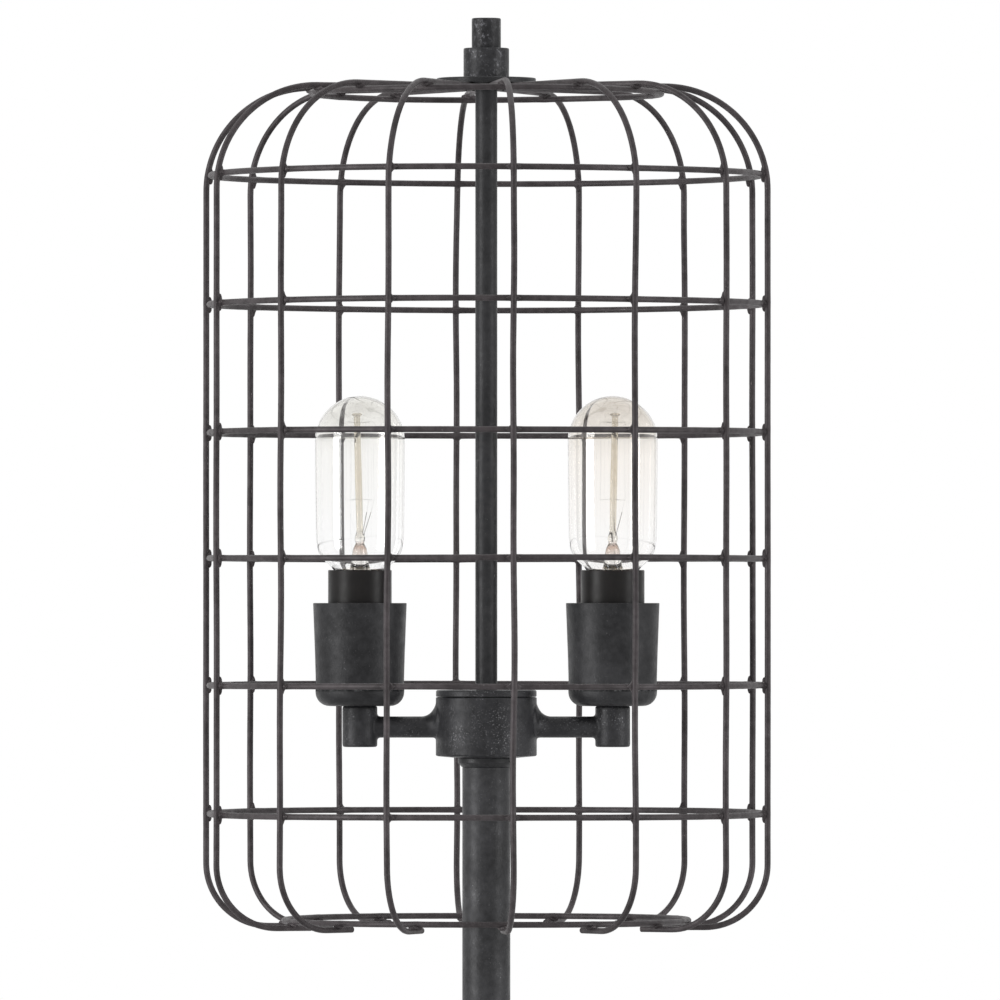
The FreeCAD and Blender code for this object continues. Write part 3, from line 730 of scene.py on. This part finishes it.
def glass_outline(wall):
    """Outer points of the glass from the neck up to the top, drawn in by the wall's thickness."""
    points = [(12.3 - wall, 1266.0), (12.3 - wall, 1271.5), (12.9 - wall, 1273.6), (14.6 - wall, 1275.6)]
    points += [(16.6 - wall, 1277.5), (18.6 - wall, 1279.6), (20.2 - wall, 1282.0), (21.2 - wall, 1284.8)]
    points += [(21.75 - wall, 1288.0), (22.0 - wall, 1292.0), (22.2 - wall, 1304.0), (22.4 - wall, 1320.0)]
    for step in range(25):
        angle = math.radians(90 * step / 24)
        points.append(((BULB_RADIUS - wall) * math.cos(angle) if step < 24 else 0.0,
                       DOME_LEVEL + (BULB_RADIUS - wall) * math.sin(angle)))
    return points


def smooth_line(points, parts=3):
    """More points along a line, on a smooth curve through them."""
    dense = []
    for index in range(len(points) - 1):
        a = Vector(points[max(index - 1, 0)])
        b, c = Vector(points[index]), Vector(points[index + 1])
        d = Vector(points[min(index + 2, len(points) - 1)])
        for part in range(parts):
            t = part / parts
            spot = 0.5 * (2 * b + (c - a) * t + (2 * a - 5 * b + 4 * c - d) * t * t
                          + (3 * b - a - 3 * c + d) * t * t * t)
            dense.append((spot.x, spot.y))
    dense.append(tuple(points[-1]))
    return dense


def build_bulb(side, x, turn, lean):
    """Glass, screw cap, stem whose rod leans a little, hooks, and the looped filament."""
    body = "bulb_" + side
    node = body + "_"
    outer = smooth_line(glass_outline(0.0))
    inner = smooth_line(glass_outline(GLASS_WALL))
    glass = lathe(outer + inner[::-1], 128, x, True)
    add_piece(glass, "glass_" + side, body, "bulb_glass", [node + "glass"], 60)

    cap = [(0, 1255.2), (9.5, 1255.2), (11.6, 1256.4)]
    for step in range(40):
        height = 1257.2 + step * 0.36
        cap.append((12.55 + 0.5 * math.cos(2 * math.pi * step / 10), height))
    cap += [(12.9, 1271.9), (12.4, 1271.9), (12.4, 1266), (0, 1266)]
    add_piece(lathe(cap, 96, x), "cap_" + side, body, "nickel_cap", [node + "cap"], 50)

    stem = [(0, 1266.2), (10.6, 1266.2), (11.0, 1266.8), (10.2, 1268.2), (7.4, 1270.4), (5.6, 1273.2),
            (4.6, 1277.0), (4.0, 1281.0), (3.5, 1284.2), (2.5, 1286.6), (2.1, 1287.6), (2.5, 1288.8),
            (2.6, 1290.2), (2.1, 1291.6), (1.8, 1292.6), (1.65, 1294.0), (1.7, 1305.0), (1.75, 1320.0),
            (1.6, 1346.5), (1.7, 1350.6), (2.5, 1351.3), (2.5, 1352.0), (1.6, 1352.5), (0, 1352.6)]
    shape = lathe(smooth_line(stem), 48, x)
    for vertex in shape.verts:
        vertex.co.x += lean * MM * max(0.0, vertex.co.z / MM - STEM_PRESS) / (STEM_TOP - STEM_PRESS)
    add_piece(shape, "stem_" + side, body, "stem_glass", [node + "stem"], 70)
    build_filament(side, x, turn, body)


def build_filament(side, x, turn, body):
    """Fine wire that runs up and down around the rod on hooks, and the two lead wires that feed it."""
    shape = bmesh.new()
    middle = Vector((x, 0, 0))

    def spot(angle, radius, height):
        """A point at a radius and an angle about the bulb's axis."""
        return middle + Vector((radius * math.cos(angle), radius * math.sin(angle), height))

    angles = [turn + 2 * math.pi * (strand + 0.5) / 6 for strand in range(6)]
    for angle in angles:
        points = []
        for step in range(13):
            share = step / 12
            bow = 0.35 * math.sin(math.pi * share)
            height = FILAMENT_LOW + (FILAMENT_HIGH - FILAMENT_LOW) * share
            points.append(spot(angle, FILAMENT_RADIUS - bow, height))
        thin_wire(shape, points, 0.018, 6)
    for pair in range(3):
        high = turn + 2 * math.pi * (2 * pair + 1) / 6
        low = turn + 2 * math.pi * (2 * pair + 2) / 6
        reach = FILAMENT_RADIUS * math.cos(math.pi / 6)
        for angle, level, dip in ((high, FILAMENT_HIGH, 0.5), (low, FILAMENT_LOW, -0.5)):
            thin_wire(shape, [spot(angle, 0.9, level - dip), spot(angle, reach * 0.6, level - dip * 0.5),
                              spot(angle, reach, level)], 0.06)
            ends = [angle - math.pi / 6, angle, angle + math.pi / 6]
            radii = [FILAMENT_RADIUS, reach, FILAMENT_RADIUS]
            thin_wire(shape, [spot(a, r, level) for a, r in zip(ends, radii)], 0.03, 6)
    for angle in (angles[0], angles[-1]):
        thin_wire(shape, [spot(angle, 1.6, STEM_PRESS - 1.5), spot(angle, 2.4, STEM_PRESS + 3),
                          spot(angle, 4.2, STEM_PRESS + 8.5), spot(angle, 5.6, STEM_PRESS + 13)], 0.16)
        thin_wire(shape, [spot(angle, 5.6, STEM_PRESS + 13), spot(angle, FILAMENT_RADIUS, FILAMENT_LOW)],
                  0.03, 6)
    add_piece(shape, "filament_" + side, body, "filament_wire", [body + "_filament"])


build_base()
build_pole()
build_cluster()
build_rod_and_finial()
build_cage()
for side, x, turn, lean in (("left", -SOCKET_X, 0.4, -1.5), ("right", SOCKET_X, 1.1, 1.2)):
    build_socket(side, x)
    build_bulb(side, x, turn, lean)

# CAD pieces that are shown as they are
carried = {"cord_bushing": "black_rubber", "pole_inserts": "zinc_steel", "threaded_nipples": "zinc_steel",
           "lock_nuts": "zinc_steel", "rod_coupling": "zinc_steel",
           "screw_shell_left": "brass", "screw_shell_right": "brass",
           "centre_tongue_left": "brass", "centre_tongue_right": "brass",
           "bulb_left_contact": "solder_contact", "bulb_right_contact": "solder_contact"}
for node, slot in carried.items():
    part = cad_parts[node]
    part.data.materials.clear()
    part.data.materials.append(materials[slot])


# ---------------------------------------------------------------- floor, light and camera

# The studio, in metres
FLOOR_SIZE = 30.0
FLOOR_FADE_START = 0.9
FLOOR_FADE_END = 3.0
# Strength of the even light around the lamp, where the white background itself is 1
EVEN_LIGHT = 0.42


def seen_directly(tree):
    """1 for rays that show the studio itself: to the camera, by reflection or through glass."""
    path = tree.nodes.new("ShaderNodeLightPath")
    seen = path.outputs["Is Camera Ray"]
    for name in ("Is Glossy Ray", "Is Transmission Ray"):
        node = tree.nodes.new("ShaderNodeMath")
        node.operation = "MAXIMUM"
        tree.links.new(seen, node.inputs[0])
        tree.links.new(path.outputs[name], node.inputs[1])
        seen = node.outputs["Value"]
    return seen


def studio_floor():
    """Pale seamless floor that fades into the white background away from the lamp."""
    finish = Finish("studio_floor")
    tone = finish.ramp(finish.noise(1.5, 3), [(0.3, (0.85, 0.85, 0.85)), (0.7, (0.87, 0.87, 0.87))])
    finish.link(tone, "Base Color")
    finish.link(finish.level(finish.noise(3, 2), 0.3, 0.7, 0.75, 0.85), "Roughness")
    finish.set(Specular_IOR_Level=0.2)
    reach = finish.tree.nodes.new("ShaderNodeVectorMath")
    reach.operation = "LENGTH"
    finish.tree.links.new(finish.place, reach.inputs[0])
    away = finish.level(reach.outputs["Value"], FLOOR_FADE_START, FLOOR_FADE_END)
    background = finish.tree.nodes.new("ShaderNodeEmission")
    blend = finish.tree.nodes.new("ShaderNodeMixShader")
    finish.tree.links.new(finish.math("MULTIPLY", away, seen_directly(finish.tree)), blend.inputs["Fac"])
    finish.tree.links.new(finish.shader.outputs["BSDF"], blend.inputs[1])
    finish.tree.links.new(background.outputs["Emission"], blend.inputs[2])
    finish.tree.links.new(blend.outputs["Shader"], finish.output.inputs["Surface"])
    return finish.material


def build_floor():
    """A wide level floor under the lamp."""
    shape = bmesh.new()
    bmesh.ops.create_grid(shape, x_segments=24, y_segments=24, size=FLOOR_SIZE)
    mesh = bpy.data.meshes.new("studio_floor")
    shape.to_mesh(mesh)
    shape.free()
    floor = bpy.data.objects.new("studio_floor", mesh)
    bpy.context.scene.collection.objects.link(floor)
    mesh.materials.append(studio_floor())


def add_light(name, place, target, width, height, power):
    """A rectangular softbox, in metres and watts, that faces its target."""
    data = bpy.data.lights.new(name, "AREA")
    data.shape = "RECTANGLE"
    data.size = width
    data.size_y = height
    data.energy = power
    lamp = bpy.data.objects.new(name, data)
    lamp.location = place
    lamp.rotation_euler = (Vector(target) - Vector(place)).to_track_quat("-Z", "Y").to_euler()
    bpy.context.scene.collection.objects.link(lamp)


def build_world():
    """White background, and a softer even light on the lamp."""
    world = bpy.data.worlds.new("white_studio")
    bpy.context.scene.world = world
    world.use_nodes = True
    tree = world.node_tree
    background = tree.nodes["Background"]
    background.inputs["Color"].default_value = (1, 1, 1, 1)
    spread = tree.nodes.new("ShaderNodeMapRange")
    spread.inputs["To Min"].default_value = EVEN_LIGHT
    tree.links.new(seen_directly(tree), spread.inputs["Value"])
    tree.links.new(spread.outputs["Result"], background.inputs["Strength"])


def build_camera():
    """A distant camera at the photograph's viewing angle, level with the bulbs' sockets."""
    data = bpy.data.cameras.new("photo_camera")
    data.sensor_width = 36
    data.lens = 482.4
    data.clip_end = 60
    camera = bpy.data.objects.new("photo_camera", data)
    camera.location = (0.00685, -6.7, 1.2565)
    camera.rotation_euler = (math.radians(90.449), 0, 0)
    bpy.context.scene.collection.objects.link(camera)
    bpy.context.scene.camera = camera


build_floor()
build_world()
add_light("left_softbox", (-2.5, -1.35, 1.4), (0, 0, 1.2), 1.2, 2.8, 66)
add_light("right_softbox", (2.55, -1.2, 1.4), (0, 0, 1.2), 1.0, 2.8, 36)
add_light("top_softbox", (0, 0.4, 3.7), (0, 0, 1.2), 4.0, 4.0, 34)
build_camera()
bpy.context.scene.view_settings.view_transform = "Standard"
